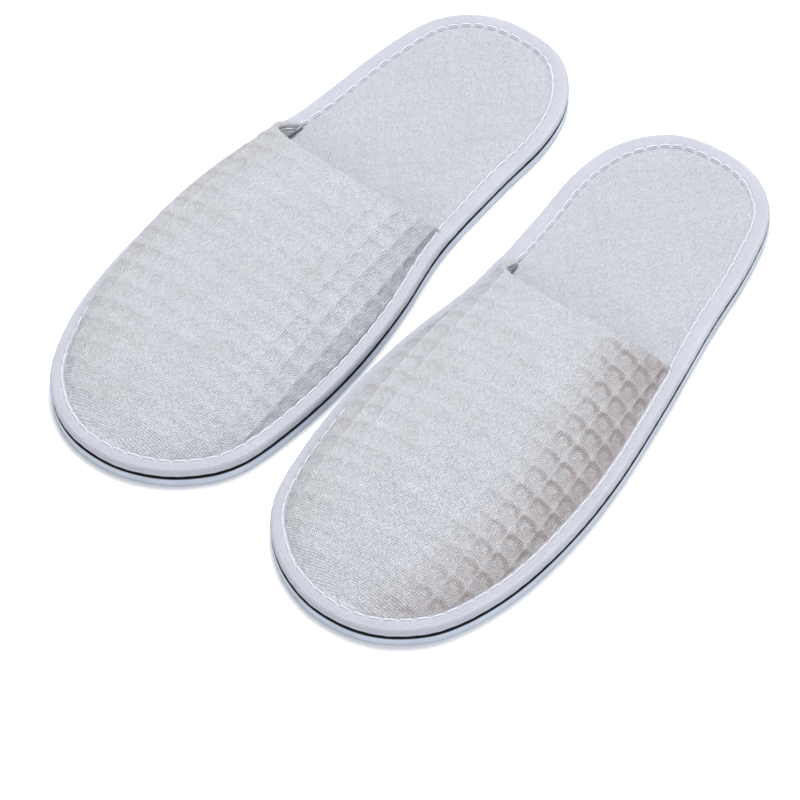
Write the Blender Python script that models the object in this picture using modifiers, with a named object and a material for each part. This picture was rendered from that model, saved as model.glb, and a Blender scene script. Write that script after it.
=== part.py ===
"""A pair of closed-toe, open-back spa slippers, built layer by layer.

Each slipper is a flat sandwich: a foam outsole, a film of adhesive, an insole board, a foam
pad and a woven cover. A padded upper of three layers is laid on it, and one folded tape binds
all the edges together. The toes point along -Y, and the two slippers mirror each other.
"""
import math

import bmesh
import bpy
import numpy as np
from mathutils import Vector

# Pair
HALF_SPACING = 0.0553           # from the middle of the pair to each slipper's centre line
STAGGER = 0.004                 # the right slipper lies this far heelwards, the left one toewards
TOE_OUT = math.radians(1.8)     # each slipper turns its toe outwards by this
GAP = 0.0003                    # clearance between neighbouring layers

# Sole outline of the right foot, in mm: X is inwards (towards the other slipper), Y is heelwards
SOLE_OUTLINE = (
    (0, 143.5), (19.5, 139.5), (35, 123), (42, 99), (42, 65), (43.5, 24), (50.5, -13), (54, -50),
    (52.5, -87), (46.5, -115), (31.5, -133), (13, -142.5), (-5, -144.5), (-23, -140), (-41, -125),
    (-53, -98), (-58.5, -65), (-59, -28), (-54.5, 16), (-48.5, 60), (-45, 94), (-37.5, 124),
    (-20.5, 140),
)
STATIONS = 64                   # points round a sole outline

# Layer thicknesses and heights
OUTSOLE_THICKNESS = 0.0044
OUTSOLE_CHAMFER = 0.0004
TAPE = 0.0007                   # binding tape
SHADOW_GAP = 0.0007             # open line between the outsole and the binding
BOARD_THICKNESS = 0.0005
COVER_THICKNESS = 0.0006
PAD_THICKNESS = 0.0017
OUTER_THICKNESS = 0.0007        # upper, outer weave
UPPER_FOAM_THICKNESS = 0.0020
LINING_THICKNESS = 0.0005

TAPE_BOTTOM = OUTSOLE_THICKNESS + SHADOW_GAP
BOARD_BOTTOM = TAPE_BOTTOM + TAPE + GAP
COVER_BOTTOM = BOARD_BOTTOM + BOARD_THICKNESS + GAP      # at the edge, where nothing pads it
COVER_TOP = COVER_BOTTOM + COVER_THICKNESS
LINING_EDGE_TOP = COVER_TOP + GAP + LINING_THICKNESS
OUTER_EDGE_TOP = LINING_EDGE_TOP + GAP + OUTER_THICKNESS
TAPE_TOP_HEEL = COVER_TOP + GAP + TAPE
TAPE_TOP_UPPER = OUTER_EDGE_TOP + GAP + TAPE

# Binding: how far the folded tape reaches in over the top and under the bottom
TAPE_REACH_HEEL = 0.0080
TAPE_REACH_UPPER = 0.0060
TAPE_REACH_UNDER = 0.0070
LAYER_INSET = 0.0022            # edges of the layers caught inside the fold
STITCH_PITCH = 0.0075
STITCH_FROM_TAPE_EDGE = 0.0010
THREAD_RADIUS = 0.0004
THREAD_LIFT = 0.0004            # how much higher a stitch lies at its middle than at its holes

# Upper
THROAT_END_Y = 0.035            # where the throat's edge meets the binding
THROAT_TOP = Vector((-0.0045, 0.018, 0.0300))
SEAM_COLUMNS = 36               # columns of the upper's surface, from side to side round the toe
RISE_ROWS = 6                   # rows of it, from the binding to the top of the throat
UPPER_SEAM_INSET = 0.0066
SIDE_BULGE = 0.0020
FOAM_COLUMNS_SHORT = 2          # columns at each end of the throat that the foam leaves free
FOAM_FROM_THROAT = 0.008        # and how far it stays from the throat's edge at the top
HEM_DEPTH = 0.0025              # the hem's thread runs this far in from the throat's edge
HEM_THREAD_RADIUS = 0.0003


def material(name, colour, roughness):
    """A plain Principled material."""
    mat = bpy.data.materials.new(name)
    mat.use_nodes = True
    shader = mat.node_tree.nodes["Principled BSDF"]
    shader.inputs["Base Color"].default_value = (*colour, 1.0)
    shader.inputs["Roughness"].default_value = roughness
    shader.inputs["Metallic"].default_value = 0.0
    return mat


def smoothstep(low, high, value):
    """Eased ramp from 0 at low to 1 at high."""
    t = min(1.0, max(0.0, (value - low) / (high - low)))
    return t * t * (3.0 - 2.0 * t)


def closed_spline(points, samples):
    """Evenly spaced points on the smooth closed curve through the given points."""
    points = np.asarray(points, float)
    before, after, second = np.roll(points, 1, 0), np.roll(points, -1, 0), np.roll(points, -2, 0)
    t = np.linspace(0.0, 1.0, 24, endpoint=False)[:, None]
    dense = []
    for p0, p1, p2, p3 in zip(before, points, after, second):
        dense.append(0.5 * (2 * p1 + (p2 - p0) * t + (2 * p0 - 5 * p1 + 4 * p2 - p3) * t**2
                            + (3 * p1 - p0 - 3 * p2 + p3) * t**3))
    dense = np.concatenate(dense + [dense[0][:1]])
    run = np.concatenate([[0.0], np.cumsum(np.linalg.norm(np.diff(dense, axis=0), axis=1))])
    at = np.linspace(0.0, run[-1], samples, endpoint=False)
    return np.stack([np.interp(at, run, dense[:, axis]) for axis in (0, 1)], axis=1)


def outline(samples, inset):
    """The sole outline, moved in by inset. One value, or one for each point."""
    points = closed_spline(SOLE_OUTLINE, samples) / 1000.0
    along = np.roll(points, -1, 0) - np.roll(points, 1, 0)
    along /= np.linalg.norm(along, axis=1)[:, None]
    inwards = np.stack([along[:, 1], -along[:, 0]], axis=1)
    return points + inwards * np.broadcast_to(inset, samples)[:, None]


def under_upper(y):
    """1 where the binding also holds the upper, 0 in the open heel."""
    return 1.0 - smoothstep(THROAT_END_Y + 0.002, THROAT_END_Y + 0.012, y)


def tape_top(y):
    return TAPE_TOP_HEEL + (TAPE_TOP_UPPER - TAPE_TOP_HEEL) * under_upper(y)


def tape_reach(y):
    return TAPE_REACH_HEEL + (TAPE_REACH_UPPER - TAPE_REACH_HEEL) * under_upper(y)


class Slipper:
    """Makes the named pieces of one slipper under an empty on its centre line."""

    def __init__(self, name, side, centre_y, collection):
        self.name = name
        self.mirror = -side                 # side is +1 for the slipper on +X
        self.collection = collection
        self.root = bpy.data.objects.new(f"{name}_centre", None)
        self.root.location = (side * HALF_SPACING, centre_y, 0.0)
        self.root.rotation_euler = (0.0, 0.0, side * TOE_OUT)
        collection.objects.link(self.root)

    def place(self, data, part, mat):
        piece = bpy.data.objects.new(f"{self.name}_{part}", data)
        data.materials.append(mat)
        piece.parent = self.root
        self.collection.objects.link(piece)
        return piece

    def place_mesh(self, bm, part, mat):
        """Turn the right-foot mesh into this slipper's mesh."""
        bmesh.ops.scale(bm, vec=(self.mirror, 1.0, 1.0), verts=bm.verts)
        bmesh.ops.recalc_face_normals(bm, faces=bm.faces)
        mesh = bpy.data.meshes.new(f"{self.name}_{part}")
        bm.to_mesh(mesh)
        bm.free()
        mesh.shade_smooth()
        mesh.set_sharp_from_angle(angle=math.radians(40))
        return self.place(mesh, part, mat)

    def sheet(self, part, inset, bottom, thickness, mat, chamfer=0.0):
        """A flat layer cut to the sole outline."""
        curve = bpy.data.curves.new(f"{self.name}_{part}", "CURVE")
        curve.dimensions = "2D"
        curve.fill_mode = "BOTH"
        curve.extrude = thickness / 2.0 - chamfer
        curve.bevel_depth = chamfer
        curve.bevel_resolution = 0
        spline = curve.splines.new("POLY")
        points = outline(STATIONS, inset + chamfer)
        spline.points.add(len(points) - 1)
        for point, (x, y) in zip(spline.points, points):
            point.co = (x * self.mirror, y, 0.0, 1.0)
        spline.use_cyclic_u = True
        piece = self.place(curve, part, mat)
        piece.location.z = bottom + thickness / 2.0
        return piece


    def thread(self, part, route, radius, mat):
        """A thin round thread along a route, moved in from the throat's edge by the hem."""
        curve = bpy.data.curves.new(f"{self.name}_{part}", "CURVE")
        curve.dimensions = "3D"
        curve.bevel_depth = radius
        curve.bevel_resolution = 1
        curve.use_fill_caps = True
        spline = curve.splines.new("POLY")
        spline.points.add(len(route) - 1)
        for point, (x, y, z) in zip(spline.points, route):
            point.co = (x * self.mirror, y - HEM_DEPTH, z, 1.0)
        self.place(curve, part, mat)


def loft(bm, rings, close_last_to_first):
    """Quads between rings of equal length, each ring a closed loop."""
    loops = [[bm.verts.new(point) for point in ring] for ring in rings]
    pairs = list(zip(loops, loops[1:]))
    if close_last_to_first:
        pairs.append((loops[-1], loops[0]))
    for ring, following in pairs:
        for i in range(len(ring)):
            j = (i + 1) % len(ring)
            bm.faces.new((ring[i], ring[j], following[j], following[i]))
    return loops


def at_height(points, height):
    return [(x, y, height) for x, y in points]


def pad(slipper, mat):
    """Foam pad of the insole: a slab with tapered edges."""
    bottom = COVER_BOTTOM
    rings = [at_height(outline(STATIONS, inset), height) for inset, height in (
        (0.0125, bottom), (0.0129, bottom + 0.0006), (0.0160, bottom + PAD_THICKNESS))]
    bm = bmesh.new()
    loops = loft(bm, rings, False)
    bm.faces.new(loops[0])
    bm.faces.new(loops[-1])
    slipper.place_mesh(bm, "insole_foam", mat)


def cover(slipper, mat):
    """Woven cover of the insole: flat in the binding, then up over the pad."""
    middle = COVER_BOTTOM + PAD_THICKNESS + GAP
    rings = [at_height(outline(STATIONS, inset), height) for inset, height in (
        (LAYER_INSET, COVER_BOTTOM), (0.0115, COVER_BOTTOM), (0.0158, middle))]
    bm = bmesh.new()
    loops = loft(bm, rings, False)
    bm.faces.new(loops[-1])
    bmesh.ops.recalc_face_normals(bm, faces=bm.faces)
    if bm.faces[0].normal.z < 0.0:
        bmesh.ops.reverse_faces(bm, faces=bm.faces)
    bmesh.ops.solidify(bm, geom=bm.faces[:], thickness=-COVER_THICKNESS)
    slipper.place_mesh(bm, "insole_cover", mat)


def binding(slipper, mat):
    """Folded tape with its open side inwards, thicker where it also holds the upper."""
    profiles = []
    for y in outline(STATIONS, 0.0)[:, 1]:
        low, high, reach = TAPE_BOTTOM, tape_top(y), tape_reach(y)
        middle = (low + high) / 2.0
        profiles.append((
            (TAPE_REACH_UNDER, low), (0.0016, low), (0.0004, low + 0.0010), (0.0, middle),
            (0.0004, high - 0.0011), (0.0017, high - 0.0001), (reach, high),
            (reach, high - TAPE), (0.0019, high - TAPE - 0.0001), (TAPE + 0.0001, middle),
            (0.0018, low + TAPE), (TAPE_REACH_UNDER, low + TAPE)))
    rings = []
    for inset, height in zip(*[np.array(profiles)[:, :, axis].T for axis in (0, 1)]):
        points = outline(STATIONS, inset)
        rings.append([(x, y, z) for (x, y), z in zip(points, height)])
    bm = bmesh.new()
    loft(bm, rings, True)
    slipper.place_mesh(bm, "edge_binding", mat)


def stitches(slipper, mat):
    """The sewing thread along the tape's inner edge: up over each stitch, down at each hole."""
    edge = outline(400, 0.0)
    inset = np.array([tape_reach(y) - STITCH_FROM_TAPE_EDGE for y in edge[:, 1]])
    path = outline(400, inset)
    path = np.concatenate([path, path[:1]])
    run = np.concatenate([[0.0], np.cumsum(np.linalg.norm(np.diff(path, axis=0), axis=1))])
    points = 2 * int(round(run[-1] / STITCH_PITCH))
    profiles = []
    for index in range(points):
        at = run[-1] * index / points
        here, ahead = (np.array([np.interp(place, run, path[:, axis]) for axis in (0, 1)])
                       for place in (at, min(at + 0.001, run[-1])))
        along = (ahead - here) / max(np.linalg.norm(ahead - here), 1e-9)
        outwards = np.array((-along[1], along[0])) * THREAD_RADIUS
        tape_height = tape_top(here[1] - STITCH_PITCH / 2.0)
        centre_height = tape_height + GAP + THREAD_RADIUS + THREAD_LIFT * (index % 2)
        profiles.append((
            (*(here + outwards), centre_height), (*here, centre_height + THREAD_RADIUS),
            (*(here - outwards), centre_height), (*here, centre_height - THREAD_RADIUS)))
    bm = bmesh.new()
    loft(bm, profiles, True)
    slipper.place_mesh(bm, "binding_thread", mat)


def seam_points(inset):
    """Points on the sole outline from the outer throat end round the toe to the inner one."""
    loop = outline(480, inset)
    front = loop[loop[:, 1] <= THROAT_END_Y]
    start = int(np.argmax(np.linalg.norm(front - np.roll(front, 1, 0), axis=1)))
    front = np.roll(front, -start, 0)
    run = np.concatenate([[0.0], np.cumsum(np.linalg.norm(np.diff(front, axis=0), axis=1))])
    at = np.linspace(0.0, run[-1], SEAM_COLUMNS + 1)
    return np.stack([np.interp(at, run, front[:, axis]) for axis in (0, 1)], axis=1)


def upper_surface(depth, edge_depth=0.0, caught_in_binding=True, pole_back=0.0):
    """The upper's outer surface moved in by depth, as an open mesh.

    Each column climbs from the binding to the pole, the top of the throat. Returns the mesh,
    its columns from side to side round the toe, and the pole.
    """
    caught, seam = seam_points(LAYER_INSET + 0.0008), seam_points(UPPER_SEAM_INSET)
    centre = np.array(THROAT_TOP[:2])
    bm = bmesh.new()
    pole = bm.verts.new(THROAT_TOP - Vector((0.0, pole_back, 0.0)))
    columns, directions = [], []
    for index, (tucked, foot) in enumerate(zip(caught, seam)):
        side = abs(2.0 * index / SEAM_COLUMNS - 1.0)
        wall = smoothstep(0.35, 1.0, side)
        lean = (THROAT_END_Y - THROAT_TOP.y) * smoothstep(0.6, 1.0, side)
        inwards = (centre - foot) / np.linalg.norm(centre - foot)
        column = [bm.verts.new((*tucked, OUTER_EDGE_TOP))] if caught_in_binding else []
        for row in range(0 if caught_in_binding else 1, RISE_ROWS):
            angle = row / RISE_ROWS * math.pi / 2.0
            across = 1.0 - math.cos(angle) ** (1.0 - 0.65 * wall)
            rise = math.sin(angle) ** (1.05 - 0.45 * wall)
            point = foot + (centre - foot) * across
            point -= inwards * SIDE_BULGE * wall * math.sin(2.0 * angle)
            point[1] -= lean * (rise - across)
            height = OUTER_EDGE_TOP + (THROAT_TOP.z - OUTER_EDGE_TOP) * rise
            column.append(bm.verts.new((*point, height)))
        columns.append(column)
        directions.append(inwards)
    for left, right in zip(columns, columns[1:]):
        for i in range(len(left) - 1):
            bm.faces.new((left[i], right[i], right[i + 1], left[i + 1]))
        bm.faces.new((left[-1], right[-1], pole))
    bmesh.ops.recalc_face_normals(bm, faces=bm.faces)
    if sum(face.normal.z for face in bm.faces) < 0.0:
        bmesh.ops.reverse_faces(bm, faces=bm.faces)
    bm.normal_update()
    for column, inwards in zip(columns, directions):
        rising = column
        if caught_in_binding:
            tucked, foot, *rising = column
            tucked.co.z -= edge_depth
            foot.co += Vector((*(inwards * (depth - edge_depth)), -edge_depth))
        for vert in rising:
            vert.co -= vert.normal * depth
    pole.co -= pole.normal * depth
    return bm, columns, pole


def upper_layer(slipper, part, bm, thickness, mat):
    """One layer of the upper, thickened inwards from its outer face."""
    piece = slipper.place_mesh(bm, part, mat)
    shell = piece.modifiers.new("thickness", "SOLIDIFY")
    shell.thickness = thickness
    shell.offset = -1.0


def upper(slipper, mats):
    """Outer weave, foam and lining, one inside the other, and the thread of the throat's hem."""
    bm, _, _ = upper_surface(0.0)
    upper_layer(slipper, "upper_outer", bm, OUTER_THICKNESS, mats["outer"])

    foam_depth = OUTER_THICKNESS + GAP
    bm, columns, _ = upper_surface(foam_depth, 0.0, False, FOAM_FROM_THROAT)
    ends = columns[:FOAM_COLUMNS_SHORT] + columns[-FOAM_COLUMNS_SHORT:]
    bmesh.ops.delete(bm, geom=[vert for column in ends for vert in column], context="VERTS")
    upper_layer(slipper, "upper_foam", bm, UPPER_FOAM_THICKNESS, mats["foam"])

    lining_depth = foam_depth + UPPER_FOAM_THICKNESS + GAP
    bm, _, _ = upper_surface(lining_depth, OUTER_EDGE_TOP - LINING_EDGE_TOP)
    upper_layer(slipper, "upper_lining", bm, LINING_THICKNESS, mats["lining"])

    bm, columns, pole = upper_surface((OUTER_THICKNESS + lining_depth) / 2.0, 0.0, False)
    route = [vert.co.copy() for vert in (*columns[0], pole, *reversed(columns[-1]))]
    bm.free()
    slipper.thread("hem_thread", route, HEM_THREAD_RADIUS, mats["thread"])


def build_slipper(name, side, centre_y, collection, mats):
    slipper = Slipper(name, side, centre_y, collection)
    slipper.sheet("outsole", -0.0002, 0.0, OUTSOLE_THICKNESS, mats["eva"], OUTSOLE_CHAMFER)
    film_bottom = OUTSOLE_THICKNESS + GAP
    slipper.sheet("sole_adhesive", TAPE_REACH_UNDER + 0.0010, film_bottom,
                  BOARD_BOTTOM - GAP - film_bottom, mats["adhesive"])
    slipper.sheet("insole_board", LAYER_INSET, BOARD_BOTTOM, BOARD_THICKNESS, mats["board"])
    pad(slipper, mats["foam"])
    cover(slipper, mats["insole"])
    binding(slipper, mats["tape"])
    stitches(slipper, mats["thread"])
    upper(slipper, mats)


def main():
    for old in list(bpy.data.objects):
        bpy.data.objects.remove(old, do_unlink=True)
    collection = bpy.data.collections.new("spa_slippers")
    bpy.context.scene.collection.children.link(collection)
    mats = {
        "eva": material("outsole_eva", (0.66, 0.70, 0.77), 0.6),
        "adhesive": material("adhesive", (0.75, 0.72, 0.62), 0.5),
        "board": material("board", (0.78, 0.78, 0.78), 0.9),
        "foam": material("foam", (0.85, 0.84, 0.80), 0.95),
        "insole": material("insole_weave", (0.70, 0.72, 0.76), 0.9),
        "tape": material("binding_tape", (0.76, 0.78, 0.84), 0.75),
        "thread": material("thread", (0.84, 0.85, 0.90), 0.6),
        "outer": material("upper_weave", (0.66, 0.67, 0.70), 0.9),
        "lining": material("lining", (0.62, 0.63, 0.65), 0.85),
    }
    turn = np.array((math.sin(-TOE_OUT), math.cos(-TOE_OUT)))
    reach_y = outline(STATIONS, 0.0) @ turn
    centre_y = -(reach_y.max() + reach_y.min()) / 2.0
    build_slipper("left", 1, centre_y - STAGGER, collection, mats)
    build_slipper("right", -1, centre_y + STAGGER, collection, mats)


main()
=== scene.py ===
import math

import bpy
import numpy as np
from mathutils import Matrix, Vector


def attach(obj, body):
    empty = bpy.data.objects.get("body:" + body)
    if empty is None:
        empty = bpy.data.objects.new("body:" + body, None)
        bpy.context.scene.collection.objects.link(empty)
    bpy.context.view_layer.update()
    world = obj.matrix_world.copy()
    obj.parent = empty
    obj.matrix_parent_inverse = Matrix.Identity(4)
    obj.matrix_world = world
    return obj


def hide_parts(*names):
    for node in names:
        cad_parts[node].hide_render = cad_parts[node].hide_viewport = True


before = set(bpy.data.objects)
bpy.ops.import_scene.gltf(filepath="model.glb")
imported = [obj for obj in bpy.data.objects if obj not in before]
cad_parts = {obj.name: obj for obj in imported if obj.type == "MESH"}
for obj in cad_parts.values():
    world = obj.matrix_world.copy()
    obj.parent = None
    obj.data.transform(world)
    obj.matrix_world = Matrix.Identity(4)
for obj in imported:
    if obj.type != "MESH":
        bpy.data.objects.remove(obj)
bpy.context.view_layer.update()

# ---------------------------------------------------------------------------------------------
# Outsole. A sheet of closed-cell foam cut to the outline of the foot, with rounded rims and a
# fine pebbled skin. The bound layers above are stuck on it, and its top edge is painted
# near-black, as shade in the gap under them.
# ---------------------------------------------------------------------------------------------
OUTSOLE_TOP = 0.0044
SLAB_POINTS = 480             # round the outline
EDGE_ROUNDING = 0.0005
EDGE_HEIGHT = 0.0040          # where the CAD outsole's widest outline is read

# Each slipper is worked out as a right one on its own centre line, with X inwards and Y
# heelwards in metres. It is then set down in the pair, turned out, and mirrored if it is left.
SIDES = {"left": 1.0, "right": -1.0}
CENTRES = {"left": (0.0553, -0.0035), "right": (-0.0553, 0.0045)}
TOE_OUT = math.radians(1.8)


def set_down(side, points):
    """Points of one slipper's own space, placed in the pair."""
    points = np.asarray(points, float)
    turn = SIDES[side] * TOE_OUT
    across, along = -SIDES[side] * points[..., 0], points[..., 1]
    x = CENTRES[side][0] + across * math.cos(turn) - along * math.sin(turn)
    y = CENTRES[side][1] + across * math.sin(turn) + along * math.cos(turn)
    return np.stack([x, y, points[..., 2]], axis=-1)


def even(points, samples, closed):
    """The polyline through the points, resampled at even steps of its length."""
    if closed:
        points = np.concatenate([points, points[:1]])
    run = np.concatenate([[0.0], np.cumsum(np.linalg.norm(np.diff(points, axis=0), axis=1))])
    at = np.linspace(0.0, run[-1], samples, endpoint=not closed)
    return np.stack([np.interp(at, run, points[:, k]) for k in range(points.shape[1])], axis=1)


def smooth_curve(points, closed, samples):
    """Smooth curve through the points, evenly sampled."""
    points = np.asarray(points, float)
    if closed:
        before, after, second = (np.roll(points, -k, 0) for k in (-1, 1, 2))
        here = points
    else:
        first, last = 2 * points[:1] - points[1:2], 2 * points[-1:] - points[-2:-1]
        padded = np.concatenate([first, points, last])
        before, here, after, second = padded[:-3], padded[1:-2], padded[2:-1], padded[3:]
    t = np.linspace(0.0, 1.0, 16, endpoint=False)[:, None]
    dense = [0.5 * (2 * b + (c - a) * t + (2 * a - 5 * b + 4 * c - d) * t**2
                    + (3 * b - a - 3 * c + d) * t**3)
             for a, b, c, d in zip(before, here, after, second)]
    if not closed:
        dense.append(points[-1:])
    return even(np.concatenate(dense), samples, closed)


def sole_outline(side):
    """The CAD outsole's outline, counter-clockwise in the slipper's own space."""
    at = np.array([v.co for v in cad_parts[f"{side}_outsole"].data.vertices])
    ring = np.unique(at[np.abs(at[:, 2] - EDGE_HEIGHT) < 1e-4].round(6)[:, :2], axis=0)
    turn = SIDES[side] * TOE_OUT
    x, y = (ring - CENTRES[side]).T
    own = np.stack([-SIDES[side] * (x * math.cos(turn) + y * math.sin(turn)),
                    y * math.cos(turn) - x * math.sin(turn)], axis=1)
    return own[np.argsort(np.arctan2(own[:, 1], own[:, 0]))]


OUTLINES = {side: sole_outline(side) for side in SIDES}


def edge_line(side, samples, inset=0.0):
    """The sole's outline moved in by inset, which is one value or one for each sample."""
    line = smooth_curve(OUTLINES[side], True, samples)
    along = np.roll(line, -1, 0) - np.roll(line, 1, 0)
    along /= np.linalg.norm(along, axis=1)[:, None]
    inwards = np.stack([-along[:, 1], along[:, 0]], axis=1)
    return line + inwards * np.broadcast_to(inset, samples)[:, None]


def pick(piece=None):
    """Back to object mode, with only this piece selected and active, or nothing selected."""
    if bpy.context.object and bpy.context.object.mode != "OBJECT":
        bpy.ops.object.mode_set(mode="OBJECT")
    bpy.ops.object.select_all(action="DESELECT")
    if piece:
        bpy.context.view_layer.objects.active = piece
        piece.select_set(True)


def open_mesh(piece):
    """Opens a piece in edit mode, with all of it selected."""
    pick(piece)
    bpy.ops.object.mode_set(mode="EDIT")
    bpy.ops.mesh.select_all(action="SELECT")


def face_out(piece):
    """Turns all faces of a closed piece outwards."""
    open_mesh(piece)
    bpy.ops.mesh.normals_make_consistent(inside=False)
    bpy.ops.object.mode_set(mode="OBJECT")


def apply_all(piece):
    """Applies every modifier, so that the mesh is finished."""
    pick(piece)
    for modifier in list(piece.modifiers):
        bpy.ops.object.modifier_apply(modifier=modifier.name)


def cut_slab(name, side, inset, bottom, thickness):
    """A slab cut to the outline, standing at bottom, with its two rims rounded."""
    pick()
    bpy.ops.mesh.primitive_circle_add(vertices=SLAB_POINTS, radius=0.1, fill_type="NGON")
    slab = bpy.context.object
    slab.name = slab.data.name = name
    line = edge_line(side, SLAB_POINTS, inset)
    ring = set_down(side, np.column_stack([line, np.full(len(line), bottom)]))
    slab.data.vertices.foreach_set("co", ring.ravel())
    open_mesh(slab)
    bpy.ops.mesh.extrude_region_move(TRANSFORM_OT_translate={"value": (0.0, 0.0, thickness)})
    face_out(slab)
    rim = slab.modifiers.new("rounding", "BEVEL")
    rim.width, rim.segments, rim.limit_method = EDGE_ROUNDING, 3, "ANGLE"
    apply_all(slab)
    bpy.ops.object.shade_smooth_by_angle(angle=math.radians(50))
    return slab


def finish_piece(piece, side, slot, mat, *nodes):
    """Gives a piece its material and its slipper, and hides the CAD nodes that it stands for."""
    piece.data.materials.clear()
    piece.data.materials.append(mat)
    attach(piece, f"{side}_slipper")
    if nodes:
        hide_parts(*nodes)


def node_group(name, inputs, outputs):
    """A shader node group with its named sockets, and its input and output nodes."""
    group = bpy.data.node_groups.new(name, "ShaderNodeTree")
    for label, kind, value in inputs:
        socket = group.interface.new_socket(label, in_out="INPUT", socket_type=kind)
        if value is not None:
            socket.default_value = value
    for label, kind in outputs:
        group.interface.new_socket(label, in_out="OUTPUT", socket_type=kind)
    return group, group.nodes.new("NodeGroupInput"), group.nodes.new("NodeGroupOutput")


def wire(tree, kind, settings=(), **links):
    """Adds a node, sets its properties, and feeds its inputs, by index as _0, _1 or by name."""
    node = tree.nodes.new(kind)
    for key, value in dict(settings).items():
        setattr(node, key, value)
    for key, value in links.items():
        by_index = key[0] == "_" and key[1:].isdigit()
        socket = node.inputs[int(key[1:])] if by_index else node.inputs[key.replace("_", " ")]
        if isinstance(value, bpy.types.NodeSocket):
            tree.links.new(value, socket)
        else:
            socket.default_value = value
    return node


def math_node(tree, operation, *values):
    """The output of one Math node."""
    fed = {f"_{k}": value for k, value in enumerate(values)}
    return wire(tree, "ShaderNodeMath", {"operation": operation}, **fed).outputs[0]


def fine_cells():
    """Closed cells or matted fibres: a small cell height and a soft cloud."""
    group, given, out = node_group(
        "fine_cells",
        [("Vector", "NodeSocketVector", None), ("Cells", "NodeSocketFloat", 1.0)],
        [("Height", "NodeSocketFloat"), ("Mottle", "NodeSocketFloat")])
    cells = wire(group, "ShaderNodeTexVoronoi", {}, Vector=given.outputs["Vector"],
                 Scale=given.outputs["Cells"])
    cloud = wire(group, "ShaderNodeTexNoise", {}, Vector=given.outputs["Vector"], Scale=60.0,
                 Detail=5.0)
    group.links.new(cells.outputs["Distance"], out.inputs["Height"])
    group.links.new(cloud.outputs[0], out.inputs["Mottle"])
    return group


CELLS = fine_cells()
# Painted shade for the shadowed gap between the binding and the outsole.
GAP_SHADE_BLACK = (0.018, 0.018, 0.022, 1.0)


def times_colour(tree, colour, amount, other):
    """One colour darkened by another, by an amount from 0 to 1."""
    return wire(tree, "ShaderNodeMix", {"data_type": "RGBA", "blend_type": "MULTIPLY"},
                _0=amount, _6=colour, _7=other).outputs[2]


def finish(name, light, dark, roughness, grain, settings, bump, lift, sheen=0.0, uv=False,
           hollow_shade=0.0, shade=(0.5, 0.5, 0.5), grain_colour_and_shade_span=(0.90, 1.05), warm_shade_colour=None, gap_shade=None):
    """A matt finish: two colours mottled together, a fine grain that lifts the surface and
    darkens its low places, partly as the grain's own colour and partly as painted shade, painted
    shade in the hollows, a painted warm shade, and a near-black band of painted shade between two
    heights, for a shadowed gap. The hollow shade and the warm shade are attributes of the piece's
    mesh."""
    mat = bpy.data.materials.new(name)
    mat.use_nodes = True
    tree = mat.node_tree
    shader = tree.nodes["Principled BSDF"]
    shader.inputs["Sheen Weight"].default_value = sheen
    shader.inputs["Sheen Roughness"].default_value = 0.5
    shader.inputs["Specular IOR Level"].default_value = 0.25
    own = wire(tree, "ShaderNodeTexCoord").outputs["Object"]
    where = wire(tree, "ShaderNodeUVMap", {"uv_map": "UVMap"}).outputs[0] if uv else own
    texture = wire(tree, "ShaderNodeGroup", {"node_tree": grain}, Vector=where, **settings)
    mottle, height = texture.outputs["Mottle"], texture.outputs["Height"]
    spread = wire(tree, "ShaderNodeMapRange", {}, Value=mottle, From_Min=0.3, From_Max=0.7)
    colour = wire(tree, "ShaderNodeMix", {"data_type": "RGBA"}, _0=spread.outputs[0],
                  _6=(*dark, 1.0), _7=(*light, 1.0)).outputs[2]
    # Darker in the grain's low places: partly the grain's own colour, partly painted shade.
    grain_colour_and_shade = wire(tree, "ShaderNodeMapRange", {}, Value=height, From_Min=-0.3, From_Max=1.0,
                To_Min=grain_colour_and_shade_span[0], To_Max=grain_colour_and_shade_span[1])
    colour = times_colour(tree, colour, 1.0, grain_colour_and_shade.outputs[0])
    # Painted shade: a mesh attribute darkens the sunken places toward the shade colour.
    if hollow_shade:
        depth = wire(tree, "ShaderNodeAttribute", {"attribute_name": "hollow_shade"}).outputs["Fac"]
        amount = math_node(tree, "MULTIPLY", depth, hollow_shade)
        colour = times_colour(tree, colour, amount, (*shade, 1.0))
    # Painted warm shade: a mesh attribute darkens and warms the flanks, standing in for shade and
    # warm light thrown back from a floor.
    if warm_shade_colour:
        warm_shade = wire(tree, "ShaderNodeAttribute", {"attribute_name": "warm_shade"})
        colour = times_colour(tree, colour, warm_shade.outputs["Fac"], (*warm_shade_colour, 1.0))
    # Painted shade: near-black between two heights, for the shadowed gap between the binding and
    # the outsole.
    if gap_shade:
        level = wire(tree, "ShaderNodeSeparateXYZ", {}, _0=own).outputs["Z"]
        in_gap = wire(tree, "ShaderNodeMapRange", {"interpolation_type": "SMOOTHSTEP"},
                       Value=level, From_Min=gap_shade[0], From_Max=gap_shade[1])
        colour = wire(tree, "ShaderNodeMix", {"data_type": "RGBA"}, _0=in_gap.outputs[0],
                      _6=colour, _7=GAP_SHADE_BLACK).outputs[2]
    tree.links.new(colour, shader.inputs["Base Color"])
    rough = wire(tree, "ShaderNodeMapRange", {}, Value=mottle, To_Min=roughness - 0.06,
                 To_Max=roughness + 0.06)
    tree.links.new(rough.outputs[0], shader.inputs["Roughness"])
    raised = wire(tree, "ShaderNodeBump", {}, Strength=bump, Distance=lift, Height=height)
    tree.links.new(raised.outputs[0], shader.inputs["Normal"])
    return mat


# The outsole's top edge is painted near-black, as shade in the gap under the binding.
OUTSOLE_FOAM = finish("eva_foam", light=(0.60, 0.66, 0.76), dark=(0.50, 0.56, 0.66),
                      roughness=0.55, grain=CELLS, settings={"Cells": 1900.0}, bump=0.35,
                      lift=0.0002, gap_shade=(0.00405, OUTSOLE_TOP))

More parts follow.
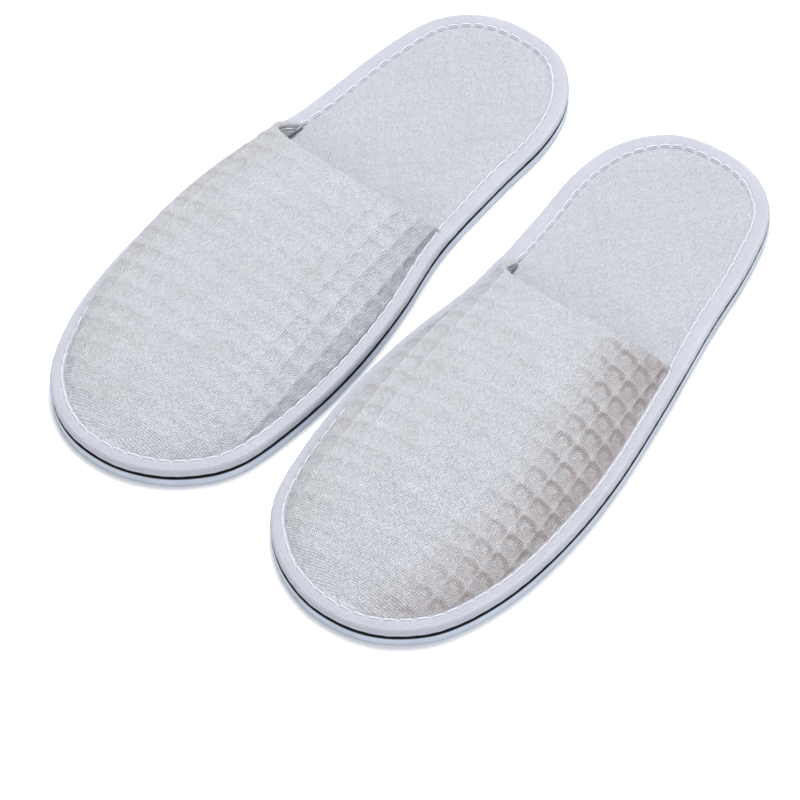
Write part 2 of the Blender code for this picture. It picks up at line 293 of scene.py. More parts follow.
for side in SIDES:
    outsole = cut_slab(f"{side}_foam_outsole", side, 0.0, 0.0, OUTSOLE_TOP)
    finish_piece(outsole, side, "outsole", OUTSOLE_FOAM, f"{side}_outsole")

# ---------------------------------------------------------------------------------------------
# Glue and insole board. The film of glue and the stiff fibre board are flat and plain, so their
# CAD solids stay, in their own finishes. The board keeps the sole flat under the pad.
# ---------------------------------------------------------------------------------------------
GLUE_FILM = finish("dried_glue", light=(0.72, 0.66, 0.48), dark=(0.60, 0.54, 0.38),
                   roughness=0.4, grain=CELLS, settings={"Cells": 300.0}, bump=0.5, lift=0.0003)
FIBRE_BOARD = finish("fibre_board", light=(0.74, 0.74, 0.72), dark=(0.62, 0.62, 0.60),
                     roughness=0.9, grain=CELLS, settings={"Cells": 1400.0}, bump=0.4,
                     lift=0.0002)

for side in SIDES:
    for part, mat in (("sole_adhesive", GLUE_FILM), ("insole_board", FIBRE_BOARD)):
        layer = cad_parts[f"{side}_{part}"]
        layer.data.materials.clear()
        layer.data.materials.append(mat)

# ---------------------------------------------------------------------------------------------
# Sole pad. A thin slab of open-cell foam that lies on the board, cut back from the binding and
# with its edges rounded off, so that the cover rises gently over it.
# ---------------------------------------------------------------------------------------------
PAD_INSET, PAD_BOTTOM, PAD_TOP = 0.0150, 0.0069, 0.0081
PAD_FOAM = finish("open_cell_foam", light=(0.86, 0.83, 0.72), dark=(0.76, 0.73, 0.62),
                  roughness=0.95, grain=CELLS, settings={"Cells": 900.0}, bump=0.8, lift=0.0004)

for side in SIDES:
    sole_pad = cut_slab(f"{side}_sole_pad", side, PAD_INSET, PAD_BOTTOM, PAD_TOP - PAD_BOTTOM)
    finish_piece(sole_pad, side, "foam", PAD_FOAM, f"{side}_insole_foam")

# ---------------------------------------------------------------------------------------------
# Insole cover. White honeycomb cloth drawn flat over the pad: its cells are pressed almost
# level, so it is a fine chequer of raised and sunken squares. Its edge runs under the tape.
# ---------------------------------------------------------------------------------------------
COVER_ROWS, COVER_COLUMNS = 400, 122
COVER_INSET, COVER_EDGE, COVER_MIDDLE, COVER_THICKNESS = 0.0024, 0.0075, 0.0095, 0.0006
COVER_RISE = 0.0062, 0.0155         # from the outline: where the cover starts to rise, and is up
CELL_ACROSS, CELL_ALONG, CELL_RELIEF = 0.00435, 0.0050, 0.00014
CELL_FADE = 0.0075, 0.0105          # from the outline: flat before, full relief after
COVER_WAVE, COVER_WAVE_SIZE = 0.00022, 0.030
END_CROWDING = 0.2                  # how far the rows of the mesh close up at toe and heel
CLOTH_UNIT = 0.005                  # cloth that one unit of its UVs stands for


def woven_yarn():
    """Plain weave of soft yarns: over-and-under threads that wander, slanted loose floats, and
    fuzz, with a slow cloud for the mottle."""
    group, given, out = node_group(
        "woven_yarn",
        [("Vector", "NodeSocketVector", None), ("Threads", "NodeSocketFloat", 1.0),
         ("Unevenness", "NodeSocketFloat", 0.5)],
        [("Height", "NodeSocketFloat"), ("Mottle", "NodeSocketFloat")])
    vector, uneven = given.outputs["Vector"], given.outputs["Unevenness"]
    drift = wire(group, "ShaderNodeTexNoise", {}, Vector=vector, Scale=1.7, Detail=3.0)
    centred = wire(group, "ShaderNodeVectorMath", {"operation": "SUBTRACT"},
                   _0=drift.outputs["Color"], _1=(0.5, 0.5, 0.5))
    pushed = wire(group, "ShaderNodeVectorMath", {"operation": "SCALE"}, _0=centred.outputs[0],
                  Scale=0.16)
    moved = wire(group, "ShaderNodeVectorMath", {"operation": "ADD"}, _0=vector,
                 _1=pushed.outputs[0])
    parts = wire(group, "ShaderNodeSeparateXYZ", {}, _0=moved.outputs[0])
    threads = []
    for axis in ("X", "Y"):
        turns = math_node(group, "MULTIPLY", parts.outputs[axis], given.outputs["Threads"])
        threads.append(math_node(group, "SINE", math_node(group, "MULTIPLY", turns, 2 * math.pi)))
    ribs = math_node(group, "MULTIPLY", math_node(group, "ADD", *threads), 0.22)
    crossing = math_node(group, "MULTIPLY", *threads)
    weave = math_node(group, "MULTIPLY_ADD", crossing, 0.35, ribs)
    slanted = wire(group, "ShaderNodeMapping", {}, Vector=vector, Rotation=(0.0, 0.0, 0.3),
                   Scale=(7.0, 2.8, 1.0))
    floats = wire(group, "ShaderNodeTexNoise", {}, Vector=slanted.outputs[0], Scale=1.0,
                  Detail=2.0, Roughness=0.55)
    spread = wire(group, "ShaderNodeMapRange", {}, Value=floats.outputs[0], From_Min=0.3,
                  From_Max=0.7, To_Min=-0.45, To_Max=0.45)
    loose = math_node(group, "MULTIPLY_ADD", spread.outputs[0], uneven, weave)
    fuzz = wire(group, "ShaderNodeTexNoise", {}, Vector=vector, Scale=9.0, Detail=4.0,
                Roughness=0.7)
    height = math_node(group, "ADD", loose, math_node(group, "MULTIPLY", fuzz.outputs[0], uneven))
    cloud = wire(group, "ShaderNodeTexNoise", {}, Vector=vector, Scale=0.23, Detail=5.0,
                 Roughness=0.6)
    group.links.new(height, out.inputs["Height"])
    group.links.new(cloud.outputs[0], out.inputs["Mottle"])
    return group


WOVEN = woven_yarn()
INSOLE_CLOTH = finish("insole_cloth", light=(0.575, 0.59, 0.64), dark=(0.535, 0.55, 0.60),
                      roughness=0.9, grain=WOVEN, settings={"Threads": 5.5, "Unevenness": 1.3},
                      bump=0.9, lift=0.00040, sheen=0.1, uv=True, hollow_shade=0.25,
                      shade=(0.86, 0.87, 0.89), grain_colour_and_shade_span=(0.80, 1.13))


def ease(low, high, value):
    """0 below low, 1 above high, with a smooth ramp between them."""
    t = np.clip((np.asarray(value, float) - low) / (high - low), 0.0, 1.0)
    return t * t * (3.0 - 2.0 * t)


def wander(x, y, size, seed):
    """Slow unevenness from -1 to 1, as hand-laid cloth has."""
    a = np.sin(x / size * 2.1 + 1.3 * seed) * np.cos(y / size * 1.7 - 0.7 * seed)
    b = np.sin((x + 0.6 * y) / size * 3.3 + 2.1 * seed) * 0.5
    c = np.sin((0.8 * x - y) / size * 4.9 + 0.4 * seed) * 0.3
    return (a + b + c) / 1.8


def distance_to(line, points):
    """Distance of each point to a closed line, in the plane."""
    flat = points.reshape(-1, 2)
    best = np.full(len(flat), 1.0)
    for start in range(0, len(line), 16):
        part = line[start:start + 16]
        gap = np.linalg.norm(flat[:, None, :] - part[None, :, :], axis=2).min(axis=1)
        best = np.minimum(best, gap)
    return best.reshape(points.shape[:-1])


def mark(piece, name, values):
    """Keeps one value for each point of the mesh, for its finish to read."""
    kept = piece.data.attributes.new(name, "FLOAT", "POINT")
    kept.data.foreach_set("value", values.ravel())


def lay_cloth(name, side, points, flat):
    """A sheet of cloth as a grid of points, with its own flat coordinates as its UVs."""
    rows, columns = points.shape[:2]
    pick()
    bpy.ops.mesh.primitive_grid_add(x_subdivisions=columns - 1, y_subdivisions=rows - 1, size=1.0)
    piece = bpy.context.object
    piece.name = piece.data.name = name
    piece.data.vertices.foreach_set("co", set_down(side, points).ravel())
    corner = np.zeros(len(piece.data.loops), int)
    piece.data.loops.foreach_get("vertex_index", corner)
    layer = piece.data.uv_layers[0]
    layer.data.foreach_set("uv", (flat.reshape(-1, 2)[corner] / CLOTH_UNIT).ravel())
    layer.name = "UVMap"
    piece.data.update()
    return piece


def thicken(piece, thickness, above=0.0):
    """Gives an open sheet its thickness, below the side that faces up. That side is judged by
    the faces above a height."""
    if sum(face.normal.z for face in piece.data.polygons if face.center.z > above) < 0.0:
        piece.data.flip_normals()
    wall = piece.modifiers.new("thickness", "SOLIDIFY")
    wall.thickness, wall.offset = thickness, -1.0
    apply_all(piece)
    piece.data.shade_smooth()


for side in SIDES:
    rim = edge_line(side, 1200, COVER_INSET)
    toe, heel = rim[:, 1].argmin(), rim[:, 1].argmax()
    ordered = np.roll(rim, -toe, axis=0)
    split = (heel - toe) % len(rim)
    inner, outer = ordered[:split + 1], ordered[split:][::-1]
    level = np.linspace(0.0, 1.0, COVER_ROWS)
    crowded = (1.0 - np.cos(math.pi * level)) / 2.0
    level = (1.0 - END_CROWDING) * level + END_CROWDING * crowded
    y = rim[toe, 1] + (rim[heel, 1] - rim[toe, 1]) * level
    x_in, x_out = (np.interp(y, part[:, 1], part[:, 0]) for part in (inner, outer))
    x = x_out[:, None] + (x_in - x_out)[:, None] * np.linspace(0.0, 1.0, COVER_COLUMNS)
    y = np.repeat(y[:, None], COVER_COLUMNS, axis=1)
    plan = np.stack([x, y], axis=-1)
    room = distance_to(edge_line(side, 600), plan)
    rise = ease(*COVER_RISE, room)
    across, along = math.pi * x / CELL_ACROSS, math.pi * y / CELL_ALONG
    chequer = np.cos(across) * np.cos(along)
    ridges = 0.25 * (np.cos(2.0 * across) + np.cos(2.0 * along))
    relief = np.tanh(1.6 * (chequer + ridges))
    z = (COVER_EDGE + (COVER_MIDDLE - COVER_EDGE) * rise
         + CELL_RELIEF * (relief - 1.0) * ease(*CELL_FADE, room)
         + COVER_WAVE * wander(x, y, COVER_WAVE_SIZE, 1.0 + SIDES[side]) * rise)
    cover = lay_cloth(f"{side}_insole_cloth", side, np.dstack([plan, z]), plan)
    # Painted shade in the cover's sunken cells.
    mark(cover, "hollow_shade", (1.0 - relief) / 2.0 * rise)
    thicken(cover, COVER_THICKNESS)
    finish_piece(cover, side, "insole_weave", INSOLE_CLOTH, f"{side}_insole_cover")

# ---------------------------------------------------------------------------------------------
# Upper. Coarse honeycomb cloth, cut flat, turned in at the throat's edge and caught in the
# binding round the toe, so that it arches over the foot. The right one stands fuller, and the
# left one has settled, with its outer flank sloping and darkened by a painted warm shade.
# ---------------------------------------------------------------------------------------------
UPPER_ROWS, UPPER_COLUMNS = 226, 176
MIDDLE = UPPER_COLUMNS // 2
TIP_ROWS = 12                       # the last rows, whose feet draw together at the tip
RIM_SAMPLES = 2400
SEAM_INSET, TUCK_INSET, SEAM_HEIGHT = 0.0056, 0.0030, 0.0093
LIP = 0.0016                        # radius of the rolled throat edge
HEM = 0.0035                        # how far the cloth turns in behind it
OUTER_THICKNESS = 0.0007
POCKET_ACROSS, POCKET_ALONG, POCKET_DEPTH = 0.0090, 0.0097, 0.0010
POCKET_WALL = 0.40, 0.98            # where it rises, from a pocket's middle at 0 to a ridge at 1
LONG_RIDGE = 0.22                   # how far the ridges along the slipper stand up, of that depth
SAG, SAG_SIZE = 0.0006, 0.034
TOE_PRESSING = 0.55                 # relief lost at the toe, where the cloth is drawn tight
CROWN_RELIEF = 0.72                 # relief left on the crown, of that on the flanks
UPPERS = {
    # pairs give the outer side and then the inner side
    "right": {
        "ends": (0.0395, 0.029),                    # Y where the throat goes into the binding
        "crown_x": -0.006,
        "spine": ((0.0150, 0.0305), (-0.010, 0.0300), (-0.040, 0.0282), (-0.070, 0.0258),
                  (-0.095, 0.0228), (-0.115, 0.0188), (-0.127, 0.0150), (-0.1345, 0.0115)),
        "reach": (0.60, 0.72), "rise": (0.62, 1.15),    # powers: lower is boxier
        "bulge": (0.0030, 0.0012), "warm_shade": (0.10, 0.0), "seed": 2.0},
    "left": {
        "ends": (0.030, 0.0415),
        "crown_x": 0.000,
        "spine": ((0.0205, 0.0284), (-0.005, 0.0283), (-0.040, 0.0268), (-0.070, 0.0248),
                  (-0.095, 0.0220), (-0.115, 0.0182), (-0.127, 0.0146), (-0.1345, 0.0113)),
        "reach": (0.56, 0.74), "rise": (1.70, 0.85),
        "bulge": (0.0, 0.0012), "warm_shade": (1.0, 0.1), "seed": 5.0},
}
TOE_REACH, TOE_RISE = 0.80, 0.95    # the powers that both sides reach at the toe
UPPER_CLOTH = finish("upper_cloth", light=(0.635, 0.65, 0.695), dark=(0.58, 0.59, 0.625),
                     roughness=0.9, grain=WOVEN, settings={"Threads": 5.0, "Unevenness": 1.2},
                     bump=1.0, lift=0.00045, sheen=0.1, uv=True, hollow_shade=0.28,
                     shade=(0.72, 0.71, 0.72), grain_colour_and_shade_span=(0.80, 1.13), warm_shade_colour=(0.70, 0.60, 0.555))


def run_of(points, *axes):
    """Length of each step from one point to the next, seen along the other axis."""
    return np.hypot(*(np.diff(points[..., axis], axis=0) for axis in axes))


def arch(side, shape):
    """The smooth outside of the upper, from the throat to the toe and from outer to inner
    side, with its feet on the seam. Returns the points, the tucked edges under the tape and
    the cloth's flat coordinates."""
    line, tuck = (edge_line(side, RIM_SAMPLES, inset) for inset in (SEAM_INSET, TUCK_INSET))
    tip = int(line[:, 1].argmin())
    feet = []
    for way, end in zip((-1, 1), shape["ends"]):
        order = (tip + way * np.arange(RIM_SAMPLES // 2)) % RIM_SAMPLES
        last = int(np.argmax(line[order, 1] > end))
        order = order[:last + 1][::-1]
        feet.append(even(np.concatenate([line[order], tuck[order]], axis=1), UPPER_ROWS, False))
    crown_x = shape["crown_x"]
    shares = np.linspace(0.0, 1.0, UPPER_ROWS)
    spine = [(crown_x, y, z) for y, z in shape["spine"]]
    spine = smooth_curve([*spine, (*line[tip], SEAM_HEIGHT)], False, UPPER_ROWS)
    spine[:, 0] = crown_x + (line[tip, 0] - crown_x) * ease(0.0, 1.0, shares)
    quarter = np.linspace(0.0, math.pi / 2.0, 260)
    points, across = [], []
    for row, (share, crown) in enumerate(zip(shares, spine)):
        toewards, fullness = ease(0.25, 0.95, share), 1.0 - ease(0.2, 0.9, share)
        halves = []
        for which in (0, 1):
            foot = feet[which][row]
            power = shape["reach"][which] * (1.0 - toewards) + TOE_REACH * toewards
            reach = np.sin(quarter) ** power
            power = shape["rise"][which] * (1.0 - toewards) + TOE_RISE * toewards
            rise = np.cos(quarter) ** power
            rise[-1] = 0.0
            bulge = math.copysign(shape["bulge"][which] * fullness, foot[0])
            x = crown[0] + (foot[0] - crown[0]) * reach
            x += bulge * np.sin(math.pi * rise) * ease(0.3, 1.0, reach)
            y = foot[1] + (crown[1] - foot[1]) * rise
            z = SEAM_HEIGHT + (crown[2] - SEAM_HEIGHT) * rise
            halves.append(even(np.stack([x, y, z], axis=1), MIDDLE + 1, False))
        points.append(np.concatenate([halves[0][::-1], halves[1][1:]]))
        run = np.concatenate([[0.0], np.cumsum(run_of(points[-1], 0, 2))])
        across.append(run - run[MIDDLE])
    points = np.array(points)
    cloth = np.stack([across, np.zeros_like(across)], axis=-1)
    cloth[1:, :, 1] = np.cumsum(run_of(points, 1, 2), axis=0)
    cloth[..., 1] -= points[0, :, 1]
    under_tape = np.full(UPPER_ROWS, SEAM_HEIGHT - 0.0001)
    return points, [np.column_stack([foot[:, 2:], under_tape]) for foot in feet], cloth


def normals_of(points):
    """Unit normals of a grid of points, on the side that faces up on the whole."""
    along, across = np.gradient(points, axis=0), np.gradient(points, axis=1)
    normal = np.cross(across, along)
    normal /= np.maximum(np.linalg.norm(normal, axis=-1), 1e-12)[..., None]
    return normal * (1.0 if normal[..., 2].sum() > 0 else -1.0)


def pockets(cloth):
    """Honeycomb cloth. How deep it lies, from a little above 0 on the long ridges to 1 in the
    pockets, and how much painted shade its pocket walls get, most on the heelward ones."""
    a = np.abs(2.0 * ((cloth[..., 0] / POCKET_ACROSS + 0.5) % 1.0) - 1.0)
    b = np.abs(2.0 * ((cloth[..., 1] / POCKET_ALONG) % 1.0) - 1.0)
    corner = (a**3.0 + b**3.0) ** (1.0 / 3.0)         # 0 in the middle of a pocket, 1 on a ridge
    heelward = np.sin(2.0 * math.pi * cloth[..., 1] / POCKET_ALONG)
    sunken = 1.0 - ease(*POCKET_WALL, corner)
    depth = sunken * (0.85 - 0.25 * heelward) - LONG_RIDGE * ease(0.78, 1.0, a)
    wall = ease(0.35, 0.70, corner) * (1.0 - ease(0.85, 1.05, corner))
    return depth, wall * (0.30 + 0.70 * np.maximum(heelward, 0.0))


def seam_distance(points):
    """Distance of each point of the arch to its own row's feet, and to the tip near the toe."""
    near_toe = slice(-TIP_ROWS, None)
    to_feet = [np.linalg.norm(points - foot, axis=-1) for foot in (points[:, :1], points[:, -1:])]
    gap = np.minimum(*to_feet)
    to_tip = np.linalg.norm(points[near_toe] - points[-1, MIDDLE], axis=-1)
    gap[near_toe] = np.minimum(gap[near_toe], to_tip)
    return gap


def unit(vectors):
    """The same directions, 1 long."""
    return vectors / np.linalg.norm(vectors, axis=-1)[:, None]


def turned_in(surface, outwards, heelwards, tucks, cloth):
    """The arch with a rolled lip and a hem added at the throat, and its edges tucked under the
    tape. Returns the points, their flat coordinates, the count of added rows and the middle
    of the lip."""
    lip_centre = surface[0] - outwards * LIP
    lip = [lip_centre + LIP * (outwards * math.cos(a) + heelwards * math.sin(a))
           for a in np.linspace(math.pi, 0.0, 9)[:-1]]
    hem = [lip_centre - outwards * LIP - heelwards * d for d in np.linspace(HEM, 0.0, 5)[:-1]]
    added = len(hem) + len(lip)
    rows = np.concatenate([hem, lip, surface])
    first, last = (np.concatenate([rows[:added, column], tuck])[:, None]
                   for column, tuck in zip((0, -1), tucks))
    lead = np.linspace(-(HEM + math.pi * LIP), 0.0, added, endpoint=False)
    start = np.repeat(cloth[:1], added, 0) + np.stack([np.zeros(added), lead], axis=1)[:, None]
    flat = np.concatenate([start, cloth])
    turn = (SEAM_INSET - TUCK_INSET, 0.0)
    flat = np.concatenate([flat[:, :1] - turn, flat, flat[:, -1:] + turn], axis=1)
    return np.concatenate([first, rows, last], axis=1), flat, added, lip_centre


INSIDES = {}                        # what the layers and the seam under the cloth follow

for side, shape in UPPERS.items():
    smooth, tucks, cloth = arch(side, shape)
    normal = normals_of(smooth)
    from_seam = seam_distance(smooth)
    from_throat = np.linalg.norm(smooth - smooth[:1], axis=-1)
    toewards = (np.arange(UPPER_ROWS) / UPPER_ROWS)[:, None]
    span = np.abs(smooth[..., 0] - smooth[:, MIDDLE, None, 0])
    span /= (np.maximum(span[:, :1], 1e-4) + np.maximum(span[:, -1:], 1e-4)) / 2.0
    flank = ease(0.3, 0.8, span)
    open_weave = (ease(0.0003, 0.0030, from_seam) * (0.35 + 0.65 * ease(0.0, 0.005, from_throat))
                  * (1.0 - TOE_PRESSING * ease(0.45, 0.90, toewards))
                  * (CROWN_RELIEF + (1.0 - CROWN_RELIEF) * flank))
    pocket, wall_shade = (value * open_weave for value in pockets(cloth))
    sag = SAG * wander(smooth[..., 0], smooth[..., 1], SAG_SIZE, shape["seed"])
    smooth = smooth + normal * (sag * ease(0.0, 0.02, from_seam))[..., None]
    surface = smooth - normal * (POCKET_DEPTH * pocket)[..., None]
    heelwards = unit(smooth[0] - smooth[1])
    outwards = unit(normal[0] - heelwards * (normal[0] * heelwards).sum(-1)[:, None])
    whole, flat, added, lip_centre = turned_in(surface, outwards, heelwards, tucks, cloth)
    upper = lay_cloth(f"{side}_upper_cloth", side, whole, flat)

    # Painted shade in the pocket walls, more on the flanks.
    painted_wall_shade = np.zeros(whole.shape[:2])
    painted_wall_shade[added:, 1:-1] = wall_shade * (0.7 + 0.5 * flank)
    mark(upper, "hollow_shade", painted_wall_shade)
    # Painted warm shade on the flanks, most in the pocket walls, and most on the left one's outer
    # flank.
    which = (np.arange(UPPER_COLUMNS + 1) > MIDDLE).astype(int)
    warm_shade_weight = 0.28 + 0.18 * ease(0.80, 1.0, span) + 0.25 * pocket + 0.95 * wall_shade
    warm_shade = np.zeros(whole.shape[:2])
    warm_shade[added:, 1:-1] = (ease(0.40, 0.95, span) * warm_shade_weight * np.array(shape["warm_shade"])[which]
                             * (1.0 - ease(0.80, 1.0, toewards)))
    warm_shade[:added] = warm_shade[added]
    mark(upper, "warm_shade", warm_shade)
    thicken(upper, OUTER_THICKNESS)
    finish_piece(upper, side, "upper_weave", UPPER_CLOTH, f"{side}_upper_outer")
    INSIDES[side] = smooth, normal, cloth, lip_centre, outwards, heelwards

# ---------------------------------------------------------------------------------------------
# Upper's foam and lining. Thin foam is laid under the honeycomb cloth, and a plain lining closes
# it in. Both follow the same arch further in, and start behind the hem.
# ---------------------------------------------------------------------------------------------
FOAM_THICKNESS, LINING_THICKNESS = 0.0013, 0.0005
INNER_FIRST_ROW = 4                 # of the arch's rows
FLOOR_GAP = 0.0008                  # how far below the seam the layers may hang
LINING_CLOTH = finish("lining_cloth", light=(0.50, 0.51, 0.53), dark=(0.44, 0.45, 0.47),
                      roughness=0.85, grain=WOVEN, settings={"Threads": 14.0, "Unevenness": 0.4},
                      bump=0.35, lift=0.00012, uv=True)


def thinned(count, first, step, margin):
    """Every step-th index from the first one to the margin, which is always kept."""
    return np.unique(np.append(np.arange(first, count - margin, step), count - 1 - margin))


def inner_layer(name, side, depth, step, margin, thickness):
    """A layer that lies at a depth under the arch, on a coarser mesh."""
    smooth, normal, cloth = INSIDES[side][:3]
    kept = np.ix_(thinned(UPPER_ROWS, INNER_FIRST_ROW, step, margin),
                  thinned(UPPER_COLUMNS + 1, margin, step, margin))
    points = (smooth - normal * depth)[kept]
    points[..., 2] = np.maximum(points[..., 2], SEAM_HEIGHT - FLOOR_GAP)
    layer = lay_cloth(name, side, points, cloth[kept])
    thicken(layer, thickness)
    return layer


for side in UPPERS:
    padding = inner_layer(f"{side}_upper_padding", side, OUTER_THICKNESS + POCKET_DEPTH + 0.0001,
                          3, 6, FOAM_THICKNESS)
    finish_piece(padding, side, "foam", PAD_FOAM, f"{side}_upper_foam")
    lining = inner_layer(f"{side}_lining_cloth", side, 2.0 * LIP - 0.0001, 2, 0,
                         LINING_THICKNESS)
    finish_piece(lining, side, "lining", LINING_CLOTH, f"{side}_upper_lining")

# ---------------------------------------------------------------------------------------------
# Hem seam. One run of sewing thread that joins the cloth's hem to the lining, just behind the
# throat's lip, out of sight under the upper.
# ---------------------------------------------------------------------------------------------
HEM_THREAD_RADIUS = 0.0003
THREAD = finish("sewing_thread", light=(0.78, 0.79, 0.84), dark=(0.68, 0.69, 0.75),
                roughness=0.55, grain=WOVEN, settings={"Threads": 10.0, "Unevenness": 0.3},
                bump=0.5, lift=0.0001, sheen=0.2, uv=True)


def join_ends(piece, gap):
    """Merges the points that meet where a grid closes on itself."""
    open_mesh(piece)
    bpy.ops.mesh.remove_doubles(threshold=gap)
    bpy.ops.object.mode_set(mode="OBJECT")


def draw_thread(name, side, path, radius, sides, closed):
    """A thin round thread along a path of points, with its ends capped if it has any."""
    ahead = np.roll(path, -1, 0) - np.roll(path, 1, 0) if closed else np.gradient(path, axis=0)
    ahead = unit(ahead)
    sideways = unit(np.cross(ahead, (0.0, 0.0, 1.0)))
    above = np.cross(sideways, ahead)
    turn = np.linspace(0.0, 2.0 * math.pi, sides + 1)
    around = (np.cos(turn)[None, :, None] * sideways[:, None, :]
              + np.sin(turn)[None, :, None] * above[:, None, :])
    rings = path[:, None, :] + radius * around
    run = np.concatenate([[0.0], np.cumsum(np.linalg.norm(np.diff(path, axis=0), axis=1))])
    if closed:
        rings = np.concatenate([rings, rings[:1]])
        run = np.append(run, run[-1] + np.linalg.norm(path[0] - path[-1]))
    flat = np.stack(np.broadcast_arrays(turn[None, :] * radius, run[:, None]), axis=-1)
    thread = lay_cloth(name, side, rings, flat)
    join_ends(thread, 1e-6)
    if not closed:
        open_mesh(thread)
        bpy.ops.mesh.select_all(action="DESELECT")
        bpy.ops.mesh.select_non_manifold()
        bpy.ops.mesh.edge_face_add()
    face_out(thread)
    thread.data.shade_smooth()
    return thread


for side in UPPERS:
    lip_centre, outwards, heelwards = INSIDES[side][3:]
    route = lip_centre - outwards * (LIP + 0.0001) - heelwards * (HEM - 0.0008)
    route = even(route[4:-4], 150, False)
    hem_seam = draw_thread(f"{side}_hem_seam", side, route, HEM_THREAD_RADIUS, 6, False)
    finish_piece(hem_seam, side, "thread", THREAD, f"{side}_hem_thread")

# ---------------------------------------------------------------------------------------------
# Edge binding. One knitted tape folded round the edges of every layer above the outsole. It is
# sewn through near its inner edge, and puffs up between the needle holes.
# ---------------------------------------------------------------------------------------------
TAPE_STATIONS = 1260
STITCHES = 100
STITCH_LINE = 0.0011                # from the tape's inner edge
STITCH_PITCH = 0.0075
TAPE_BOTTOM, TAPE_THICKNESS = 0.0051, 0.0006
TOP_HEEL, TOP_TOE = 0.0084, 0.0105
REACH_HEEL, REACH_TOE, REACH_UNDER = 0.0078, 0.0060, 0.0068
SIDE_INSET, TOP_INSET = 0.0017, 0.0016
CROWN, EDGE_DROP = 0.00035, 0.00030
HOLE_DEPTH, HOLE_RADIUS = 0.0005, 0.0008
KNIT_WIDTH, KNIT_LENGTH = 0.021, 0.750      # what the tape measures in its knit's coordinates
# The tape's underside is painted near-black, as shade in the gap over the outsole.
TAPE = finish("binding_tape", light=(0.54, 0.555, 0.62), dark=(0.495, 0.51, 0.575),
              roughness=0.8, grain=WOVEN, settings={"Threads": 7.0, "Unevenness": 0.8},
              bump=0.7, lift=0.00025, sheen=0.15, uv=True, grain_colour_and_shade_span=(0.91, 1.05),
              gap_shade=(0.0056, 0.0053))


def tape_course(side, shape):
    """For each station round the tape: the height of its top, how far in it reaches, its
    unevenness, and where it lies between two needle holes, from 0 to 1."""
    base = edge_line(side, TAPE_STATIONS)
    end = np.where(base[:, 0] < 0.0, *shape["ends"])
    holds_upper = 1.0 - ease(end - 0.005, end + 0.006, base[:, 1])
    uneven = wander(base[:, 0], base[:, 1], 0.016, shape["seed"])
    top = TOP_HEEL + (TOP_TOE - TOP_HEEL) * holds_upper
    reach = REACH_HEEL + (REACH_TOE - REACH_HEEL) * holds_upper + 0.0003 * uneven
    return top, reach, uneven, (np.arange(TAPE_STATIONS) / TAPE_STATIONS * STITCHES) % 1.0


def tape_profile(top, reach, phase):
    """The tape's section as insets and heights: in under the layers' edges, out and up round
    the side, and back over the top to its sewn edge."""
    puff = np.sin(math.pi * phase) ** 2
    hole = np.exp(-((np.minimum(phase, 1.0 - phase) * STITCH_PITCH) / HOLE_RADIUS) ** 2)
    low = np.full(TAPE_STATIONS, TAPE_BOTTOM)
    profile = []
    for share in np.linspace(0.0, 1.0, 9):
        inset = REACH_UNDER + (SIDE_INSET - REACH_UNDER) * share
        profile.append((np.full(TAPE_STATIONS, inset), low))
    for angle in np.radians(np.linspace(-80.0, 60.0, 12)):
        inset = np.full(TAPE_STATIONS, SIDE_INSET * (1.0 - math.cos(angle)))
        profile.append((inset, low + (top - low) * (0.47 + 0.48 * math.sin(angle))))
    for share in np.linspace(0.08, 1.0, 14):
        inset = TOP_INSET + (reach - TOP_INSET) * share
        from_seam = (inset - (reach - STITCH_LINE)) / 0.0010
        crown = CROWN * np.sin(math.pi * min(1.0, share / 0.8)) * (0.55 + 0.45 * puff)
        dip = 0.00022 + 0.00020 * (1.0 - puff) + HOLE_DEPTH * hole
        height = top + crown - dip * np.exp(-from_seam**2) - EDGE_DROP * ease(0.88, 1.0, share)
        profile.append((inset + 0.00015 * (puff - 0.5) * share, height))
    return profile, puff


COURSES = {side: tape_course(side, shape) for side, shape in UPPERS.items()}

for side, (top, reach, uneven, phase) in COURSES.items():
    profile, puff = tape_profile(top, reach, phase)
    pucker = 0.00012 * uneven + 0.0001 * (puff - 0.5)
    rings = np.array([np.column_stack([edge_line(side, TAPE_STATIONS, inset - pucker), height])
                      for inset, height in profile])
    rings = np.concatenate([rings, rings[:, :1]], axis=1)
    run = np.linspace(0.0, KNIT_LENGTH, TAPE_STATIONS + 1)
    width = np.linspace(0.0, KNIT_WIDTH, len(rings))
    flat = np.stack(np.broadcast_arrays(run[None, :], width[:, None]), axis=-1)
    tape = lay_cloth(f"{side}_bound_edge", side, rings, flat)
    join_ends(tape, 1e-7)
    thicken(tape, TAPE_THICKNESS, above=TOP_HEEL - 0.0004)
    finish_piece(tape, side, "binding_tape", TAPE, f"{side}_edge_binding")

# ---------------------------------------------------------------------------------------------
# Binding stitches. One thread that runs all the way round near the tape's inner edge, in long
# stitches that lie on the tape and go down at each needle hole.
# ---------------------------------------------------------------------------------------------
STITCH_RADIUS = 0.00036
STITCH_STEPS = 12                   # points along one stitch
STITCH_SINK, STITCH_BOW = 0.0012, 0.00012
TAPE_DIP = 0.0003                   # how far the seam has pulled the tape down

for side, (top, reach, _, _) in COURSES.items():
    steps = STITCHES * STITCH_STEPS
    place = np.arange(TAPE_STATIONS) / TAPE_STATIONS
    at = np.arange(steps) / steps
    phase = (at * STITCHES) % 1.0
    seam_line = edge_line(side, steps, np.interp(at, place, reach - STITCH_LINE))
    height = (np.interp(at, place, top) - TAPE_DIP + STITCH_RADIUS * 0.9
              - STITCH_SINK * (1.0 - ease(0.0, 0.22, np.minimum(phase, 1.0 - phase)))
              + STITCH_BOW * np.sin(math.pi * phase) ** 2)
    stitches = draw_thread(f"{side}_binding_stitches", side,
                           np.column_stack([seam_line, height]), STITCH_RADIUS, 7, True)
    finish_piece(stitches, side, "thread", THREAD, f"{side}_binding_thread")

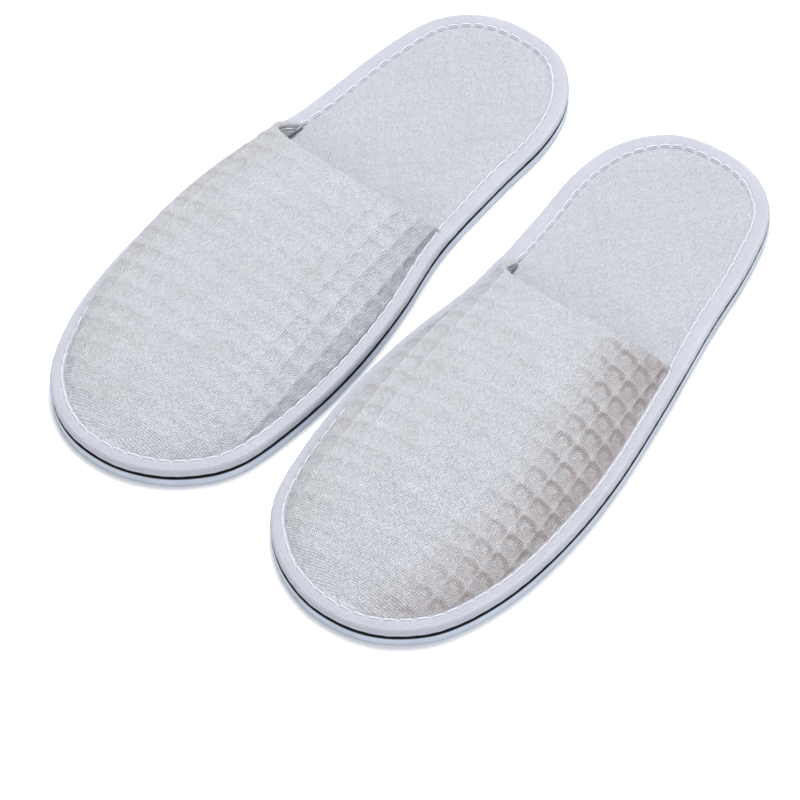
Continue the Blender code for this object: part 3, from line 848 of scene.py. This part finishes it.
# ---------------------------------------------------------------------------------------------
# Floor, light and camera. A pale matt floor, one soft box overhead for the soft shadow, two
# weak fills from the front and the side, and a long lens from above the left toes.
# ---------------------------------------------------------------------------------------------
pick()
bpy.ops.mesh.primitive_plane_add(size=12.0, location=(0.0, 0.0, 0.0))
floor = bpy.context.object
floor.name = "studio_floor"
paint = bpy.data.materials.new("pale_floor")
paint.use_nodes = True
coat = paint.node_tree.nodes["Principled BSDF"].inputs
coat["Base Color"].default_value = (0.9, 0.9, 0.9, 1.0)
coat["Roughness"].default_value = 0.9
coat["Specular IOR Level"].default_value = 0.1
floor.data.materials.append(paint)

world = bpy.data.worlds.new("studio")
world.use_nodes = True
sky = world.node_tree.nodes["Background"].inputs
sky["Color"].default_value = (0.93, 0.96, 1.0, 1.0)
sky["Strength"].default_value = 0.42
bpy.context.scene.world = world


def soft_light(name, place, size, power, colour):
    """A square soft box that points at the pair."""
    lamp = bpy.data.lights.new(name, "AREA")
    lamp.size, lamp.energy, lamp.color = size, power, colour
    holder = bpy.data.objects.new(name, lamp)
    holder.location = place
    holder.rotation_euler = (-Vector(place)).to_track_quat("-Z", "Y").to_euler()
    bpy.context.scene.collection.objects.link(holder)


soft_light("overhead", (-0.25, 0.45, 2.0), 0.8, 42.0, (1.0, 0.99, 0.98))
soft_light("front_fill", (-0.2, -1.7, 1.6), 1.6, 8.0, (0.96, 0.98, 1.0))
soft_light("side_fill", (1.7, -0.2, 1.2), 1.4, 11.0, (0.98, 0.98, 1.0))

AIM = Vector((0.0181, -0.0424, 0.0))
DISTANCE, PITCH, YAW = 1.6146, math.radians(52.4), math.radians(36.07)
camera = bpy.data.objects.new("camera", bpy.data.cameras.new("camera"))
camera.data.lens, camera.data.sensor_width = 180.0, 36.0
camera.location = AIM + DISTANCE * Vector((math.sin(YAW) * math.cos(PITCH),
                                           -math.cos(YAW) * math.cos(PITCH), math.sin(PITCH)))
camera.rotation_euler = (math.pi / 2.0 - PITCH, 0.0, YAW)
bpy.context.scene.collection.objects.link(camera)
bpy.context.scene.camera = camera
bpy.context.scene.view_settings.view_transform = "Standard"
